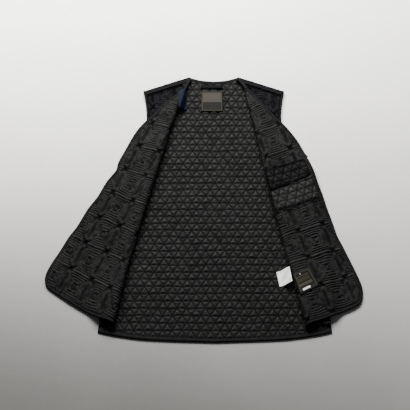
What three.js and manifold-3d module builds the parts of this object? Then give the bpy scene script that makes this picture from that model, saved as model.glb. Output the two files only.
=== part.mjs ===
// A black quilted vest laid open on its back, lining up, both fronts turned back outwards.
// Millimetres, +X to the right, +Y towards the neck, +Z up, resting on Z = 0.
import * as THREE from 'three';
import Module from 'manifold-3d';

const wasm = await Module();
wasm.setup();

// Driving dimensions
const SEAM_GAP = 0.3;
const BINDING_GAP = 0.95; // at a bound edge, where the binding turns with the cloth
const STITCHED = 2.2; // wall at a line of quilting
const PUFF = 2.2; // how far the padding rises between the lines
const BACK_TOP = STITCHED + PUFF;
const FRONT_WALL = 3.2;
const FRONT_RISE = 1; // how far a front's quilting stands above its wall
const FRONT_TOP = FRONT_WALL + FRONT_RISE;
const OUTSIDE_RISE = 0.9; // and how far the quilting of its outside stands out
const LOWER_SHELL = BACK_TOP + SEAM_GAP + FRONT_WALL; // top of the layer that lies on the back
const STACK = LOWER_SHELL + SEAM_GAP; // height of what the turned-back layer lies on
const STACK_CLEARANCE = 5;
const LANDING = 55; // width over which the turned-back layer comes down from its roll
const DRAPE = 34; // width over which it comes down from the stack to the floor
const ROLL_GROWS = { from: 20, to: 160, least: 0.3 }; // along a fold, from the neck
const ROLL_SHRINKS = { over: 60, by: 0.15 }; // at the hem
const BOW_FADE = { from: 15, to: 60 }; // how far from a fold its bow is felt

const TRIANGLE = { side: 23.44, x: -10.4, y: 3.2 };
const NEST = { across: 62.5, along: 80, x: 0, y: -8, pitch: 12 };

// Larger than any panel, and than any height
const REACH = { left: -330, right: 330, bottom: -420, top: 430 };
const SHEET = { start: -60, end: 900, across: 400 };
const TALL = 20;

const NECK_EASE = 0.9; // more room where the edge goes round the small end of the roll
const BACK_BAND = { width: 10, height: 5 };
const FRONT_BAND = { width: 7, height: 4.2 };
const SHOULDER_TURN = 13.5;
const TIP_CUT = { x: 13.5, y: 10.5 }; // from the shoulder tip to the corner of a front
const WIDE_GAP = 2.5 * SEAM_GAP; // where facets of unlike curves face each other

// The back's edge, right half, from the neck to the middle of the hem
const NECK = [{ x: 0, y: 398 }, { x: 40, y: 401.5 }, { x: 75, y: 408 }];
const SHOULDER_TIP = { x: 193, y: 359 };
const ARMHOLE = [
  { x: 193, y: 359 }, { x: 185, y: 314 }, { x: 182, y: 262 }, { x: 189, y: 212 },
  { x: 208, y: 162 }, { x: 247, y: 122 },
];
const HEM = [{ x: 286, y: -366 }, { x: 243, y: -376 }, { x: 158, y: -387 }, { x: 0, y: -393 }];

// What differs between the two fronts. fold runs from the neck to the hem, bow is how far
// the fold strays outwards at a distance along it, edge is the turned-back edge as it lies,
// and underHem is the hem of the layer below it, from the fold to the side seam.
const FRONTS = [
  {
    name: 'left', side: -1, roll: 6.5,
    fold: { neck: { x: -74, y: 392 }, hem: { x: -244, y: -345 } },
    bow: [{ p: 0, by: 0 }, { p: 240, by: 4 }, { p: 470, by: 7 }, { p: 620, by: 6 }, { p: 742, by: 0 }],
    edge: [
      { x: -80, y: 371 }, { x: -122, y: 325 }, { x: -164, y: 280 }, { x: -204, y: 234 },
      { x: -225, y: 195 }, { x: -242, y: 154 }, { x: -254, y: 120 }, { x: -259, y: 98 },
      { x: -283, y: 66 }, { x: -304, y: 23 }, { x: -328, y: -15 }, { x: -352, y: -66 },
      { x: -373, y: -101 }, { x: -391, y: -138 }, { x: -410, y: -175 }, { x: -422, y: -204 },
      { x: -424, y: -225 }, { x: -419, y: -241 }, { x: -405, y: -254 }, { x: -372, y: -277 },
      { x: -324, y: -309 }, { x: -286, y: -331 }, { x: -258, y: -343 },
    ],
    underHem: [{ x: -262, y: -349 }, { x: -284, y: -346 }],
  },
  {
    name: 'right', side: 1, roll: 4.5,
    fold: { neck: { x: 78, y: 395 }, hem: { x: 220, y: -350 } },
    bow: [{ p: 0, by: 0 }, { p: 200, by: -2 }, { p: 420, by: -5 }, { p: 600, by: -2 }, { p: 748, by: 0 }],
    edge: [
      { x: 85, y: 376 }, { x: 107, y: 352 }, { x: 148, y: 296 }, { x: 199, y: 234 },
      { x: 225, y: 195 }, { x: 242, y: 157 }, { x: 253, y: 126 }, { x: 263, y: 99 },
      { x: 272, y: 62 }, { x: 283, y: 25 }, { x: 292, y: -12 }, { x: 302, y: -48 },
      { x: 313, y: -92 }, { x: 325, y: -122 }, { x: 338, y: -156 }, { x: 352, y: -194 },
      { x: 366, y: -236 }, { x: 368, y: -262 }, { x: 362, y: -284 }, { x: 348, y: -297 },
      { x: 318, y: -312 }, { x: 284, y: -328 }, { x: 247, y: -343 }, { x: 236, y: -347 },
    ],
    underHem: [{ x: 244, y: -350 }, { x: 284, y: -346 }],
  },
];

// The triangle at the shoulder where the outside of a front shows, on the right
const SHOULDER_AREA = [
  { x: 92, y: 382 }, { x: 175, y: 348 }, { x: 173, y: 286 }, { x: 160, y: 296 }, { x: 122, y: 336 },
  { x: 96, y: 366 },
];

// Where a front's wall has lines across it, along the fold and beyond the roll
const WALL_LINES = [-40, 5, 20, 35, 50, 70, 100, 140, 200, 260, 320, 380, 440, 500, 560, 620, 680, 740, 800];
const BEND_LINES = [70, 140];
const FLAT_LINES = [120, 180, 300];
const ROLL_LINES = [-2.14, -1.8, -1.45, -1.1, -0.75, -0.58, -0.4, -0.22, -0.05, 0.12, 0.3, 0.65, 1];

// Sewn-on pieces: their corners as they lie, from the corner nearest the neck on the left
const NECK_LABEL = { x: -5, y: 328.5, width: 60, height: 68, thick: 0.9 };
const HANGER_LOOP = { x: -5, y: 378, width: 60, height: 9, thick: 1.6 };
const POCKET = { thick: 1.2, puff: 1, side: 10, facing: 300, top: 368, foot: 447 };
const POCKET_LEAN = { facing: -0.05, top: -0.18, foot: -0.22 };
const INNER_LABEL = [{ x: 197, y: -216 }, { x: 237, y: -194 }, { x: 260, y: -244 }, { x: 213, y: -274 }];
const CARE_LABEL = [{ x: 155, y: -201 }, { x: 187, y: -194 }, { x: 193, y: -235 }, { x: 162, y: -242 }];
const RIBBON = [{ x: -97, y: 352 }, { x: -77, y: 366 }, { x: -73, y: 299 }, { x: -95, y: 297 }];

const BLACK = { lining: 0x1b1b1c, shell: 0x17181b, binding: 0x101113 };
const finish = (color, roughness) => new THREE.MeshStandardMaterial({ color, roughness, metalness: 0 });
const LINING = finish(BLACK.lining, 0.55);
const SHELL = finish(BLACK.shell, 0.6);
const BINDING = finish(BLACK.binding, 0.65);
const LABEL = finish(0x3a3a30, 0.7);
const PAPER = finish(0xe4e4e2, 0.8);
const SATIN = finish(0x1b2540, 0.35);

// A mesh here is { points: [[x, y, z]], faces: [[a, b, c]] }
function signedVolume({ points, faces }) {
  let sum = 0;
  for (const [a, b, c] of faces) {
    const [p, q, r] = [points[a], points[b], points[c]];
    sum += p[0] * (q[1] * r[2] - q[2] * r[1]) - p[1] * (q[0] * r[2] - q[2] * r[0])
      + p[2] * (q[0] * r[1] - q[1] * r[0]);
  }
  return sum / 6;
}

function facingOut(mesh) {
  if (signedVolume(mesh) > 0) return mesh;
  return { points: mesh.points, faces: mesh.faces.map(([a, b, c]) => [a, c, b]) };
}

function toManifold(mesh) {
  const { points, faces } = facingOut(mesh);
  return new wasm.Manifold(new wasm.Mesh({
    numProp: 3,
    vertProperties: new Float32Array(points.flat()),
    triVerts: new Uint32Array(faces.flat()),
  }));
}

function fromManifold(solid) {
  const { vertProperties, triVerts } = solid.getMesh();
  const points = [];
  for (let i = 0; i < vertProperties.length; i += 3) points.push([...vertProperties.slice(i, i + 3)]);
  const faces = [];
  for (let i = 0; i < triVerts.length; i += 3) faces.push([...triVerts.slice(i, i + 3)]);
  return { points, faces };
}

function geometryOf(mesh) {
  const { points, faces } = facingOut(mesh);
  const geometry = new THREE.BufferGeometry();
  geometry.setAttribute('position', new THREE.Float32BufferAttribute(points.flat(), 3));
  geometry.setIndex(faces.flat());
  geometry.computeVertexNormals();
  return geometry;
}

// A straight solid between two copies of a flat outline, put in place by the two functions
function between(outline, ends) {
  const corners = outline.map(([x, y]) => new THREE.Vector2(x, y));
  if (THREE.ShapeUtils.area(corners) < 0) corners.reverse();
  const count = corners.length;
  const points = ends.flatMap((end) => corners.map((c) => end(c.x, c.y)));
  const faces = [];
  for (const [a, b, c] of THREE.ShapeUtils.triangulateShape(corners, [])) {
    faces.push([a, c, b], [a + count, b + count, c + count]);
  }
  for (let i = 0; i < count; i += 1) {
    const next = (i + 1) % count;
    faces.push([i, next, next + count], [i, next + count, i + count]);
  }
  return { points, faces };
}

function prism(outline, low, high) {
  return between(outline, [(x, y) => [x, y, low], (x, y) => [x, y, high]]);
}

// A smooth line through places, with the given number of steps
function smooth(places, steps) {
  const curve = new THREE.SplineCurve(places.map(({ x, y }) => new THREE.Vector2(x, y)));
  return curve.getSpacedPoints(steps).map((v) => [v.x, v.y]);
}

function mirrored(line) {
  return line.map(([x, y]) => [-x, y]).reverse();
}

// The line moved sideways, to the left of its direction when the distance is positive
function moved(line, by) {
  return line.map((point, i) => {
    const distance = Array.isArray(by) ? by[i] : by;
    const before = line[Math.max(i - 1, 0)];
    const after = line[Math.min(i + 1, line.length - 1)];
    const run = [after[0] - before[0], after[1] - before[1]];
    const length = Math.hypot(...run);
    return [point[0] - (run[1] / length) * distance, point[1] + (run[0] / length) * distance];
  });
}

// A band of rounded section swept along a line; rise gives its foot at each place
function band(line, { width, height }, rise = () => 0) {
  const half = width / 2;
  const section = [
    [-half, 0], [half, 0], [half, height * 0.6], [0, height], [-half, height * 0.6],
  ];
  const rows = section.map(([across]) => moved(line, -across));
  const points = line.flatMap((place, i) => section.map(([, up], k) => {
    const [x, y] = rows[k][i];
    return [x, y, rise(i) + up];
  }));
  const size = section.length;
  const faces = [];
  for (let i = 0; i + 1 < line.length; i += 1) {
    for (let k = 0; k < size; k += 1) {
      const [a, b] = [i * size + k, i * size + ((k + 1) % size)];
      faces.push([a, b, b + size], [a, b + size, a + size]);
    }
  }
  const last = (line.length - 1) * size;
  for (let k = 1; k + 1 < size; k += 1) faces.push([0, k + 1, k], [last, last + k, last + k + 1]);
  return { points, faces };
}

// A quilted slab from tiles that share their corners. Each tile has its corners and loops,
// from its edge inwards: the share of the way to the centre, and the height.
function quiltedSlab(tiles, low) {
  const points = [];
  const faces = [];
  const known = new Map();
  const at = (x, y, z) => {
    const key = [x, y, z].map((v) => Math.round(v * 1000) || 0).join(' ');
    if (!known.has(key)) {
      known.set(key, points.length);
      points.push([x, y, z]);
    }
    return known.get(key);
  };
  const edges = new Map();
  for (const { corners, centre, loops } of tiles) {
    const count = corners.length;
    const rings = loops.map(({ inset, top }) => corners.map(([x, y], i) => {
      const share = Array.isArray(inset) ? inset : [inset, inset];
      return at(x + (centre[0] - x) * share[0], y + (centre[1] - y) * share[1], top);
    }));
    for (let r = 0; r + 1 < rings.length; r += 1) {
      for (let i = 0; i < count; i += 1) {
        const next = (i + 1) % count;
        const [a, b, c, d] = [rings[r][i], rings[r][next], rings[r + 1][next], rings[r + 1][i]];
        if (a !== b && c !== d) faces.push([a, b, c], [a, c, d]);
        else faces.push([a, b, c]);
      }
    }
    const inner = [...new Set(rings.at(-1))];
    for (let i = 1; i + 1 < inner.length; i += 1) faces.push([inner[0], inner[i], inner[i + 1]]);
    const foot = corners.map(([x, y]) => at(x, y, low));
    for (let i = 1; i + 1 < count; i += 1) faces.push([foot[0], foot[i + 1], foot[i]]);
    for (let i = 0; i < count; i += 1) {
      const next = (i + 1) % count;
      const key = [rings[0][i], rings[0][next]];
      const back = `${key[1]} ${key[0]}`;
      if (edges.has(back)) edges.delete(back);
      else edges.set(key.join(' '), [rings[0][i], rings[0][next], foot[next], foot[i]]);
    }
  }
  for (const [a, b, c, d] of edges.values()) faces.push([b, a, d], [b, d, c]);
  return { points, faces };
}

// Equilateral quilting: a shallow pyramid on each triangle
function triangleTiles({ side, x: x0, y: y0 }, reach, low, high, place = (p) => p) {
  const row = side * Math.sqrt(3) / 2;
  const tiles = [];
  const first = Math.floor((reach.bottom - y0) / row);
  const last = Math.ceil((reach.top - y0) / row);
  const columns = Math.ceil((reach.right - reach.left) / side) + 2;
  for (let j = first; j < last; j += 1) {
    const start = Math.floor((reach.left - x0) / side) * side + x0;
    const [foot, head] = [y0 + j * row, y0 + (j + 1) * row];
    const lean = (Math.abs(j) % 2) * side / 2;
    const over = ((Math.abs(j + 1) % 2) * side) / 2;
    for (let i = 0; i < columns; i += 1) {
      const a = start + i * side;
      const bottom = [[a + lean, foot], [a + lean + side, foot]];
      const apex = lean > over ? a + side : a + side / 2;
      const peak = [apex, head];
      for (const corners of [[...bottom, peak], [bottom[1], [apex + side, head], peak]]) {
        const centre = [0, 1].map((k) => (corners[0][k] + corners[1][k] + corners[2][k]) / 3);
        tiles.push({
          corners: corners.map(place), centre: place(centre),
          loops: [{ inset: 0, top: low }, { inset: 1, top: high }],
        });
      }
    }
  }
  return tiles;
}

// Nested rectangles: rings of stitching at an even distance inside each cell's border
function nestedTiles({ across, along, x: x0, y: y0, pitch }, reach, low, high) {
  const tiles = [];
  const half = [across / 2, along / 2];
  const rings = Math.floor(half[0] / pitch);
  const loops = [{ inset: 0, top: low }];
  for (let r = 0; r < rings; r += 1) {
    for (const [step, top] of [[0.5, high], [1, low]]) {
      const inward = (r + step) * pitch;
      loops.push({ inset: [inward / half[0], inward / half[1]], top });
    }
  }
  for (let j = Math.floor((reach.bottom - y0) / along); j < (reach.top - y0) / along; j += 1) {
    for (let i = Math.floor((reach.left - x0) / across); i < (reach.right - x0) / across; i += 1) {
      const [l, b] = [x0 + i * across, y0 + j * along];
      const corners = [[l, b], [l + across, b], [l + across, b + along], [l, b + along]];
      tiles.push({ corners, centre: [l + half[0], b + half[1]], loops });
    }
  }
  return tiles;
}

// Splits every face that a level line crosses, where both ends of the edge are allowed
function cutAlong({ points, faces }, level, allowed = () => true) {
  const values = points.map((p) => level(p)).map((v) => (Math.abs(v) < 1e-4 ? 0 : v));
  const grown = [...points];
  const made = new Map();
  const middle = (a, b) => {
    if (values[a] * values[b] >= 0 || !allowed(points[a]) || !allowed(points[b])) return -1;
    const [lo, hi] = a < b ? [a, b] : [b, a];
    const key = `${lo} ${hi}`;
    if (!made.has(key)) {
      const t = values[lo] / (values[lo] - values[hi]);
      made.set(key, grown.length);
      grown.push(points[lo].map((v, k) => v + (points[hi][k] - v) * t));
    }
    return made.get(key);
  };
  const cut = [];
  for (const face of faces) {
    const mids = face.map((a, i) => middle(a, face[(i + 1) % 3]));
    const split = mids.filter((m) => m >= 0).length;
    if (split === 0) {
      cut.push(face);
    } else if (split === 1) {
      const i = mids.findIndex((m) => m >= 0);
      const [a, b, c] = [face[i], face[(i + 1) % 3], face[(i + 2) % 3]];
      cut.push([a, mids[i], c], [mids[i], b, c]);
    } else {
      const i = mids.findIndex((m) => m < 0);
      const [a, b, c] = [face[i], face[(i + 1) % 3], face[(i + 2) % 3]];
      const [onBC, onCA] = [mids[(i + 1) % 3], mids[(i + 2) % 3]];
      cut.push([onBC, c, onCA], [a, b, onBC], [a, onBC, onCA]);
    }
  }
  return { points: grown, faces: cut };
}

const ramp = (t) => THREE.MathUtils.clamp(t, 0, 1);

function interpolate(table, key, value, at) {
  const i = Math.max(1, table.findIndex((row) => row[key] >= at));
  const upper = at > table.at(-1)[key] ? table.at(-1) : table[i];
  const lower = at > table.at(-1)[key] ? table.at(-1) : table[i - 1];
  if (upper === lower) return upper[value];
  const t = THREE.MathUtils.clamp((at - lower[key]) / (upper[key] - lower[key]), 0, 1);
  return lower[value] + (upper[value] - lower[value]) * t;
}

// The way a front is turned back. Its own sheet is measured by p, along the fold from the
// neck, and q, across it: q < 0 lies on the back, q > 0 is turned over, and h runs from the
// shell (0) to the lining.
function foldOf({ fold, bow, roll, side }) {
  const start = new THREE.Vector2(fold.neck.x, fold.neck.y);
  const along = new THREE.Vector2(fold.hem.x, fold.hem.y).sub(start);
  const length = along.length();
  along.divideScalar(length);
  const inward = new THREE.Vector2(along.y, -along.x);
  if (inward.x * start.x > 0) inward.negate();
  const spread = roll + FRONT_TOP;

  const size = (p) => {
    const { from, to, least } = ROLL_GROWS;
    const grown = least + (1 - least) * THREE.MathUtils.smoothstep(p, from, to);
    return grown - ROLL_SHRINKS.by * THREE.MathUtils.smoothstep(p, length - ROLL_SHRINKS.over, length);
  };
  const outer = (p) => spread * size(p);
  const inner = (p) => roll * size(p);
  const measure = ({ x, y }) => {
    const r = new THREE.Vector2(x, y).sub(start);
    return { p: r.dot(along), d: -r.dot(inward) };
  };
  const under = [...smooth(ARMHOLE, 8), [HEM[0].x, HEM[0].y]];
  const stackEdge = under.map(([x, y]) => {
    const { p, d } = measure({ x: side * x, y });
    return { p, d: d + STACK_CLEARANCE };
  });
  const past = (p, d) => d - interpolate(stackEdge, 'p', 'd', p);
  const turned = (place) => {
    const { p, d } = measure(place);
    return [p, d];
  };
  const lying = (place) => {
    const { p, d } = measure(place);
    return [p, -d - (Math.PI - 2) * outer(p)];
  };
  const cutPlace = ([x, y]) => {
    const r = new THREE.Vector2(x, y).sub(start);
    return [r.dot(along), r.dot(inward)];
  };
  const lay = ([p, q, h]) => {
    const [big, small] = [outer(p), inner(p)];
    const bottom = -(Math.PI - 1) * big;
    let d;
    let z;
    if (q >= big) {
      const down = 1 - ramp((q - big) / LANDING);
      const lift = 1 - ramp(past(p, q) / DRAPE);
      d = q;
      z = STACK * lift + (2 * small - SEAM_GAP) * down + h;
    } else if (q > bottom) {
      const turn = -Math.PI / 2 + (q - bottom) / big;
      const lift = 1 - ramp(past(p, big) / DRAPE);
      d = big - (small + h + big - small - FRONT_WALL) * Math.cos(turn);
      z = LOWER_SHELL * lift + small + (small + h) * Math.sin(turn);
    } else {
      d = -q - (Math.PI - 2) * big;
      z = LOWER_SHELL - h;
    }
    const fade = THREE.MathUtils.smoothstep(d, BOW_FADE.from, BOW_FADE.to);
    const stray = interpolate(bow, 'p', 'by', p) * (1 - fade);
    const place = start.clone().addScaledVector(along, p).addScaledVector(inward, -d - stray);
    return [place.x, place.y, z];
  };
  const top = (p) => LOWER_SHELL + 2 * inner(p) + FRONT_TOP;
  return { length, spread, past, measure, turned, lying, cutPlace, lay, top };
}

const halfEdge = { neck: smooth(NECK, 6), armhole: smooth(ARMHOLE, 12), hem: smooth(HEM, 9) };

function backOutline() {
  const { neck, armhole, hem } = halfEdge;
  const drop = BACK_BAND.width + WIDE_GAP;
  const lowered = neck.map(([x, y]) => [x, y - drop]);
  const raised = hem.map(([x, y]) => [x, y + drop]);
  const half = [...lowered, ...moved(armhole, -FRONT_BAND.width - SEAM_GAP), ...raised];
  return [...half, ...mirrored(half).slice(1, -1)];
}

// The part of the back that shows between the two folds, and a little under them
function openArea(folds, under) {
  const [left, right] = folds.map((fold) => [-30, fold.length + 60].map((p) => {
    const [x, y] = fold.lay([p, -30, 0]);
    return [x + Math.sign(x) * under, y];
  }));
  return [left[0], left[1], right[1], right[0]];
}

// The back turned over a shoulder to the shoulder seam: one rounded strip
function shoulderStrip(side) {
  const inner = new THREE.Vector2(NECK.at(-1).x, NECK.at(-1).y);
  const tip = new THREE.Vector2(SHOULDER_TIP.x, SHOULDER_TIP.y);
  const run = tip.clone().sub(inner).normalize();
  const out = new THREE.Vector2(-run.y, run.x);
  const profile = [
    [SHOULDER_TURN, STITCHED / 2], [5, 0], [2, 0], [0.4, 2], [0, 4.4], [0.8, 6.6], [3, LOWER_SHELL],
    [SHOULDER_TURN, LOWER_SHELL],
  ];
  const clear = FRONT_BAND.width + SEAM_GAP;
  const ends = [clear, inner.distanceTo(tip) - clear].map((s) => (w, z) => {
    const v = inner.clone().addScaledVector(run, s).addScaledVector(out, -w);
    return [side * v.x, v.y, z];
  });
  return between(profile, ends);
}

function makeBack(folds) {
  const outline = backOutline();
  const open = toManifold(prism(openArea(folds, 1), -1, TALL));
  const quilt = toManifold(quiltedSlab(triangleTiles(TRIANGLE, REACH, STITCHED, BACK_TOP), -1));
  const plain = toManifold(prism(outline, 0, BACK_TOP))
    .subtract(toManifold(prism(openArea(folds, 0), -1, TALL)));
  const shown = quilt.intersect(open).intersect(toManifold(prism(outline, 0, TALL)));
  const strips = [-1, 1].map((side) => toManifold(shoulderStrip(side)));
  return fromManifold(wasm.Manifold.union([shown, plain, ...strips]));
}

// The line of a front's outer edge on its own sheet: from the neck, down the front edge,
// round the corner, along the hem, and round the fold to the side seam
function frontEdge(spec, fold) {
  const { neck } = spec.fold;
  const first = fold.lying({ x: neck.x + spec.side * 5, y: 388 });
  const rest = spec.edge.map(fold.turned);
  const hem = spec.underHem.map(fold.lying);
  const over = [0.2, -0.8, -1.8].map((turn) => [fold.length + 6 - turn * 2, turn * fold.spread]);
  const places = [first, ...rest, ...over, ...hem].map(([x, y]) => ({ x, y }));
  return smooth(places, 44);
}

function frontOutline(spec, fold, edge) {
  const across = ([x, y]) => fold.lying({ x: spec.side * x, y });
  const armhole = moved(halfEdge.armhole, -FRONT_BAND.width - SEAM_GAP).slice(1);
  const [underarm] = halfEdge.armhole.slice(-1);
  const tip = [SHOULDER_TIP.x - TIP_CUT.x, SHOULDER_TIP.y - TIP_CUT.y];
  const side = [[underarm[0] - 2, underarm[1] - 9], ...armhole.reverse().slice(1), tip];
  const inset = edge.map((_, i) => -FRONT_BAND.width - BINDING_GAP - (i < 4 ? NECK_EASE : 0));
  return [...moved(edge, inset), ...side.map(across)];
}

// The lines across a sheet between which it goes round the roll
function turnLines(fold) {
  return ROLL_LINES.map((turn) => turn * fold.spread);
}

// Cuts a sheet where the turned-back layer bends: at its landing, over the edge of the stack
// and on the floor, and where the roll grows
function creased(sheet, fold, allowed) {
  let cut = cutAlong(sheet, (point) => point[1] - fold.spread - LANDING, allowed);
  for (const reach of [0, DRAPE]) {
    cut = cutAlong(cut, ([p, q]) => fold.past(p, q) - reach, allowed);
  }
  for (const p of BEND_LINES) cut = cutAlong(cut, (point) => point[0] - p, allowed);
  return cut;
}

// Plain wall laid out in cells, so that it has a clean line wherever the cloth bends
function wallCells(pLines, qLines, height) {
  const cells = [];
  for (let i = 0; i + 1 < pLines.length; i += 1) {
    for (let j = 0; j + 1 < qLines.length; j += 1) {
      const [p0, p1, q0, q1] = [pLines[i], pLines[i + 1], qLines[j], qLines[j + 1]];
      cells.push(toManifold(prism([[p0, q0], [p1, q0], [p1, q1], [p0, q1]], 0, height)));
    }
  }
  return wasm.Manifold.union(cells);
}

function makeFront(spec, fold, edge) {
  const start = fold.spread + 1;
  const onSheet = (tile) => ({
    ...tile, corners: tile.corners.map(fold.cutPlace), centre: fold.cutPlace(tile.centre),
  });
  const nest = (low, high) => nestedTiles(NEST, REACH, low, high).map(onSheet);
  const outline = frontOutline(spec, fold, edge);
  const whole = toManifold(prism(outline, -TALL, TALL));
  const rolled = wallCells(WALL_LINES, [-160, ...turnLines(fold), start], FRONT_WALL);
  const base = wallCells(WALL_LINES, [start, fold.spread + LANDING, ...FLAT_LINES], STITCHED / 2);
  const turnedOver = [
    [SHEET.start, start], [SHEET.end, start], [SHEET.end, SHEET.across], [SHEET.start, SHEET.across],
  ];
  const quilt = toManifold(quiltedSlab(nest(STITCHED, FRONT_TOP), -1))
    .intersect(toManifold(prism(turnedOver, 0.5, TALL)));
  const area = SHOULDER_AREA.map(({ x, y }) => fold.lying({ x: spec.side * x, y }));
  const shoulder = toManifold(quiltedSlab(nest(0, -OUTSIDE_RISE), STITCHED / 2))
    .intersect(toManifold(prism(area, -TALL, 1)));
  const made = wasm.Manifold.union([rolled, base, quilt]).intersect(whole).add(shoulder);
  const sheet = creased(fromManifold(made), fold, ([, q]) => q >= start - 0.01);
  return { points: sheet.points.map(fold.lay), faces: sheet.faces };
}

function makeFrontBinding(fold, edge) {
  let strip = band(moved(edge, -FRONT_BAND.width / 2), FRONT_BAND);
  const everyOther = turnLines(fold).filter((q, i) => i % 2 === 1);
  for (const q of everyOther) strip = cutAlong(strip, (point) => point[1] - q);
  const { points, faces } = creased(strip, fold, ([, q]) => q >= fold.spread);
  const fitted = points.map(([p, q, h]) => [p, q, q > 0 ? h : Math.min(h, FRONT_WALL)]);
  return { points: fitted.map(fold.lay), faces };
}

// The bound edge of an armhole, along the back or along the front that lies on it
function makeArmholeBinding(side, onFront) {
  const line = moved(halfEdge.armhole, -FRONT_BAND.width / 2).map(([x, y]) => [side * x, y]);
  const { width } = FRONT_BAND;
  if (onFront) return band(line, { width, height: FRONT_WALL }, () => BACK_TOP + SEAM_GAP);
  return band(line, { width, height: BACK_TOP });
}

// A flat sheet on the back's lining
function onBack({ x, y, width, height, thick }) {
  const [w, h] = [width / 2, height / 2];
  const foot = BACK_TOP + SEAM_GAP;
  return prism([[x - w, y - h], [x + w, y - h], [x + w, y + h], [x - w, y + h]], foot, foot + thick);
}

// A sheet over a four-cornered place, its foot given by a height at each of its points
function sheetOver(corners, steps, thick, foot) {
  const [a, b, c, d] = corners;
  const points = [];
  for (const up of [0, thick]) {
    for (let j = 0; j <= steps; j += 1) {
      for (let i = 0; i <= steps; i += 1) {
        const [u, v] = [i / steps, j / steps];
        const mix = (key) => (a[key] * (1 - u) + b[key] * u) * (1 - v) + (d[key] * (1 - u) + c[key] * u) * v;
        points.push(foot(mix('x'), mix('y'), up));
      }
    }
  }
  const row = steps + 1;
  const layer = row * row;
  const faces = [];
  for (let j = 0; j < steps; j += 1) {
    for (let i = 0; i < steps; i += 1) {
      const [p, q, r, s] = [j * row + i, j * row + i + 1, (j + 1) * row + i + 1, (j + 1) * row + i];
      faces.push([p, q, r], [p, r, s], [p + layer, r + layer, q + layer], [p + layer, s + layer, r + layer]);
    }
  }
  const rim = [];
  for (let i = 0; i < steps; i += 1) rim.push(i);
  for (let j = 0; j < steps; j += 1) rim.push(j * row + steps);
  for (let i = steps; i > 0; i -= 1) rim.push(steps * row + i);
  for (let j = steps; j > 0; j -= 1) rim.push(j * row);
  rim.forEach((here, k) => {
    const next = rim[(k + 1) % rim.length];
    faces.push([here, here + layer, next + layer], [here, next + layer, next]);
  });
  return { points, faces };
}

// A label or tape that hangs from the fold's roll onto the back
function overRoll(fold, corners, thick, run) {
  const foot = (x, y, up) => {
    const { p, d } = fold.measure({ x, y });
    const top = fold.top(p) + SEAM_GAP;
    const low = BACK_TOP + SEAM_GAP;
    return [x, y, low + (top - low) * THREE.MathUtils.smoothstep(d, -run, -2) + up];
  };
  return sheetOver(corners, 6, thick, foot);
}

// A label sewn flat on the lining of a front
function onFront(fold, corners, thick) {
  const foot = (x, y, up) => fold.lay([...fold.turned({ x, y }), FRONT_TOP + WIDE_GAP + up]);
  return sheetOver(corners, 6, thick, foot);
}

// A quilted patch on the lining of a front, between two lines across it
function pocketPiece(spec, fold, edge, from, to) {
  const lining = FRONT_TOP + SEAM_GAP;
  const surface = lining + POCKET.thick;
  const pattern = { side: TRIANGLE.side, x: 0, y: 0 };
  const tiles = triangleTiles(pattern, REACH, surface, surface + POCKET.puff, fold.cutPlace);
  const line = (key, q) => [POCKET[key] + POCKET_LEAN[key] * q, q];
  const inner = fold.spread + POCKET.side;
  const outer = moved(edge, -FRONT_BAND.width - 6);
  const outerAt = (p) => outer.find(([at, q]) => at > p && q > 0)[1];
  const ends = [from, to].map((key) => outerAt(line(key, 120)[0]) - 2);
  const gap = SEAM_GAP;
  const [a, b] = [line(from, inner), line(from, ends[0])];
  const [c, d] = [line(to, ends[1]), line(to, inner)];
  const place = [[a[0] + gap, a[1]], [b[0] + gap, b[1]], [c[0] - gap, c[1]], [d[0] - gap, d[1]]];
  const made = toManifold(quiltedSlab(tiles, lining - 2))
    .intersect(toManifold(prism(place, lining, lining + TALL)));
  const sheet = creased(fromManifold(made), fold, () => true);
  return { points: sheet.points.map(fold.lay), faces: sheet.faces };
}

const folds = FRONTS.map(foldOf);
const group = new THREE.Group();

function addPiece(name, mesh, material) {
  const piece = new THREE.Mesh(geometryOf(mesh), material);
  piece.name = name;
  group.add(piece);
}

addPiece('back', makeBack(folds), LINING);
FRONTS.forEach((spec, i) => {
  const fold = folds[i];
  const edge = frontEdge(spec, fold);
  addPiece(`front_${spec.name}`, makeFront(spec, fold, edge), LINING);
  addPiece(`front_binding_${spec.name}`, makeFrontBinding(fold, edge), BINDING);
  addPiece(`armhole_binding_${spec.name}_front`, makeArmholeBinding(spec.side, true), BINDING);
  addPiece(`armhole_binding_${spec.name}_back`, makeArmholeBinding(spec.side, false), BINDING);
  if (spec.name === 'right') {
    addPiece('pocket_facing', pocketPiece(spec, fold, edge, 'facing', 'top'), SHELL);
    addPiece('pocket_patch', pocketPiece(spec, fold, edge, 'top', 'foot'), LINING);
    addPiece('inner_label', onFront(fold, INNER_LABEL, 0.8), LABEL);
    addPiece('care_label', overRoll(fold, CARE_LABEL, 0.5, 30), PAPER);
  } else {
    addPiece('ribbon', overRoll(fold, RIBBON, 0.6, 16), SATIN);
  }
});
const neckLine = [...mirrored(halfEdge.neck), ...halfEdge.neck.slice(1)];
const hemLine = [...halfEdge.hem, ...mirrored(halfEdge.hem).slice(1)];
addPiece('neck_binding', band(moved(neckLine, -BACK_BAND.width / 2), BACK_BAND), BINDING);
addPiece('hem_binding', band(moved(hemLine, -BACK_BAND.width / 2), BACK_BAND), BINDING);
addPiece('neck_label', onBack(NECK_LABEL), LABEL);
addPiece('hanger_loop', onBack(HANGER_LOOP), BINDING);

// The origin is under the middle of the whole, on the surface it lies on
const box = new THREE.Box3().setFromObject(group);
const middle = box.getCenter(new THREE.Vector3());
group.position.set(-middle.x, -middle.y, -box.min.z);

export default group;
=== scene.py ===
"""A black quilted vest laid open on its back, lining up, with both fronts turned back outwards."""

import math

import bmesh
import bpy
import numpy as np
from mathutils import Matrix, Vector
from mathutils.geometry import delaunay_2d_cdt


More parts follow.
